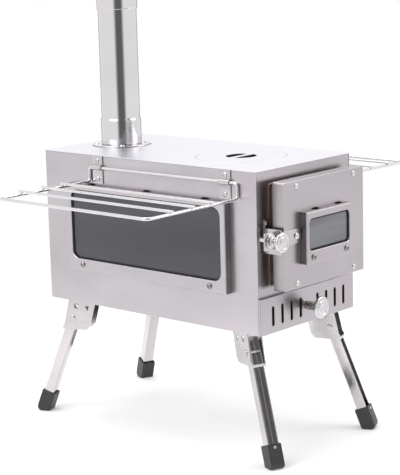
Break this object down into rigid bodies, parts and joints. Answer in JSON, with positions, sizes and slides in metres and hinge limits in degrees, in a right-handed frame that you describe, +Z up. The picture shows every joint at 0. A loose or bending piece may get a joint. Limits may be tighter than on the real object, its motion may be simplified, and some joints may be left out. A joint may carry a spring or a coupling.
{
  "type": "tent wood stove",
  "caption": "Sheet-steel camping wood stove on folding splayed legs, with glazed door and side, sliding air vent, folding wire side racks, lift-off cooking lid and slip-on chimney.",
  "frame": {"origin": "on the ground under the middle of the stove's outline", "axes": "+Z up along the chimney, -Y towards the door, -X towards the glazed side"},
  "size_m": [0.5844, 0.4936, 0.8624],
  "materials": {
    "brushed_steel": "satin rolled stainless sheet",
    "lid_steel": "satin rolled stainless sheet, a little brighter",
    "polished_steel": "bright polished stainless",
    "wire_steel": "bright drawn stainless wire",
    "hardware_steel": "bright fasteners and hinge pieces",
    "inner_steel": "inner steel with a slight warm heat tint",
    "pane_glass": "dark clear heat-proof glass",
    "rope_gasket": "matt black woven gasket",
    "black_rubber": "matt black moulded rubber"
  },
  "bodies": {
    "casing": {"casing_top": "brushed_steel", "casing_bottom": "brushed_steel", "casing_left_side": "brushed_steel", "casing_right_side": "brushed_steel", "casing_back": "brushed_steel", "casing_front": "brushed_steel", "door_rim": "inner_steel", "vent_cover": "brushed_steel", "side_window_frame": "brushed_steel", "side_window_glass": "pane_glass", "side_window_gasket": "rope_gasket", "side_window_screw_front": "hardware_steel", "side_window_screw_rear": "hardware_steel", "flue_collar": "brushed_steel", "lid_seat_ring": "brushed_steel", "fire_grate": "inner_steel", "latch_catch": "hardware_steel", "hinge_pintle_upper": "hardware_steel", "hinge_pintle_lower": "hardware_steel", "rack_bracket_left_front": "brushed_steel", "rack_bracket_left_rear": "brushed_steel", "rack_bracket_right_front": "brushed_steel", "rack_bracket_right_rear": "brushed_steel", "leg_bracket_front_left": "brushed_steel", "leg_bracket_front_right": "brushed_steel", "leg_bracket_rear_left": "brushed_steel", "leg_bracket_rear_right": "brushed_steel"},
    "door": {"door_panel": "brushed_steel", "door_liner": "inner_steel", "door_window_frame": "brushed_steel", "door_window_glass": "pane_glass", "door_window_gasket": "rope_gasket", "door_window_screw_left": "hardware_steel", "door_window_screw_right": "hardware_steel", "door_hinge_upper": "hardware_steel", "door_hinge_lower": "hardware_steel", "latch_pivot_screw": "hardware_steel"},
    "latch": {"latch_lever": "brushed_steel", "latch_bolt": "hardware_steel", "latch_spring": "wire_steel", "latch_disc": "polished_steel"},
    "air_slide": {"vent_slide": "inner_steel", "vent_knob_stud": "hardware_steel", "vent_knob_spring": "wire_steel", "vent_knob_disc": "polished_steel"},
    "left_rack": {"rack_left": "wire_steel"},
    "right_rack": {"rack_right": "wire_steel"},
    "front_left_leg": {"leg_front_left": "brushed_steel", "foot_front_left": "black_rubber"},
    "front_right_leg": {"leg_front_right": "brushed_steel", "foot_front_right": "black_rubber"},
    "rear_left_leg": {"leg_rear_left": "brushed_steel", "foot_rear_left": "black_rubber"},
    "rear_right_leg": {"leg_rear_right": "brushed_steel", "foot_rear_right": "black_rubber"},
    "lid": {"cooking_lid": "lid_steel"},
    "lower_pipe": {"flue_pipe_lower": "polished_steel"},
    "upper_pipe": {"flue_pipe_upper": "polished_steel"}
  },
  "joints": [
    {"name": "door_hinge", "type": "hinge", "parent": "casing", "child": "door", "pos_m": [0.1025, -0.20479, 0.321], "axis": [0, 0, 1], "range_deg": [0, 150]},
    {"name": "latch_pivot", "type": "hinge", "parent": "door", "child": "latch", "pos_m": [-0.0605, -0.23009, 0.3205], "axis": [0, 1, 0], "range_deg": [0, 20]},
    {"name": "air_slide_travel", "type": "slide", "parent": "casing", "child": "air_slide", "axis": [1, 0, 0], "range_m": [0, 0.01035]},
    {"name": "left_rack_fold", "type": "hinge", "parent": "casing", "child": "left_rack", "pos_m": [-0.10975, -0.02479, 0.395], "axis": [0, 1, 0], "range_deg": [0, 90]},
    {"name": "right_rack_fold", "type": "hinge", "parent": "casing", "child": "right_rack", "pos_m": [0.10975, -0.02479, 0.395], "axis": [0, -1, 0], "range_deg": [0, 90]},
    {"name": "front_left_leg_fold", "type": "hinge", "parent": "casing", "child": "front_left_leg", "pos_m": [-0.0915, -0.17479, 0.154], "axis": [0.9272, -0.3746, 0], "range_deg": [0, 111]},
    {"name": "front_right_leg_fold", "type": "hinge", "parent": "casing", "child": "front_right_leg", "pos_m": [0.0915, -0.17479, 0.154], "axis": [0.9272, 0.3746, 0], "range_deg": [0, 111]},
    {"name": "rear_left_leg_fold", "type": "hinge", "parent": "casing", "child": "rear_left_leg", "pos_m": [-0.0915, 0.18021, 0.154], "axis": [-0.9272, -0.3746, 0], "range_deg": [0, 111]},
    {"name": "rear_right_leg_fold", "type": "hinge", "parent": "casing", "child": "rear_right_leg", "pos_m": [0.0915, 0.18021, 0.154], "axis": [-0.9272, 0.3746, 0], "range_deg": [0, 111]},
    {"name": "lid_lift", "type": "slide", "parent": "casing", "child": "lid", "axis": [0, 0, 1], "range_m": [0, 0.08]},
    {"name": "lower_pipe_lift", "type": "slide", "parent": "casing", "child": "lower_pipe", "axis": [0, 0, 1], "range_m": [0, 0.06]},
    {"name": "upper_pipe_lift", "type": "slide", "parent": "lower_pipe", "child": "upper_pipe", "axis": [0, 0, 1], "range_m": [0, 0.06]}
  ]
}
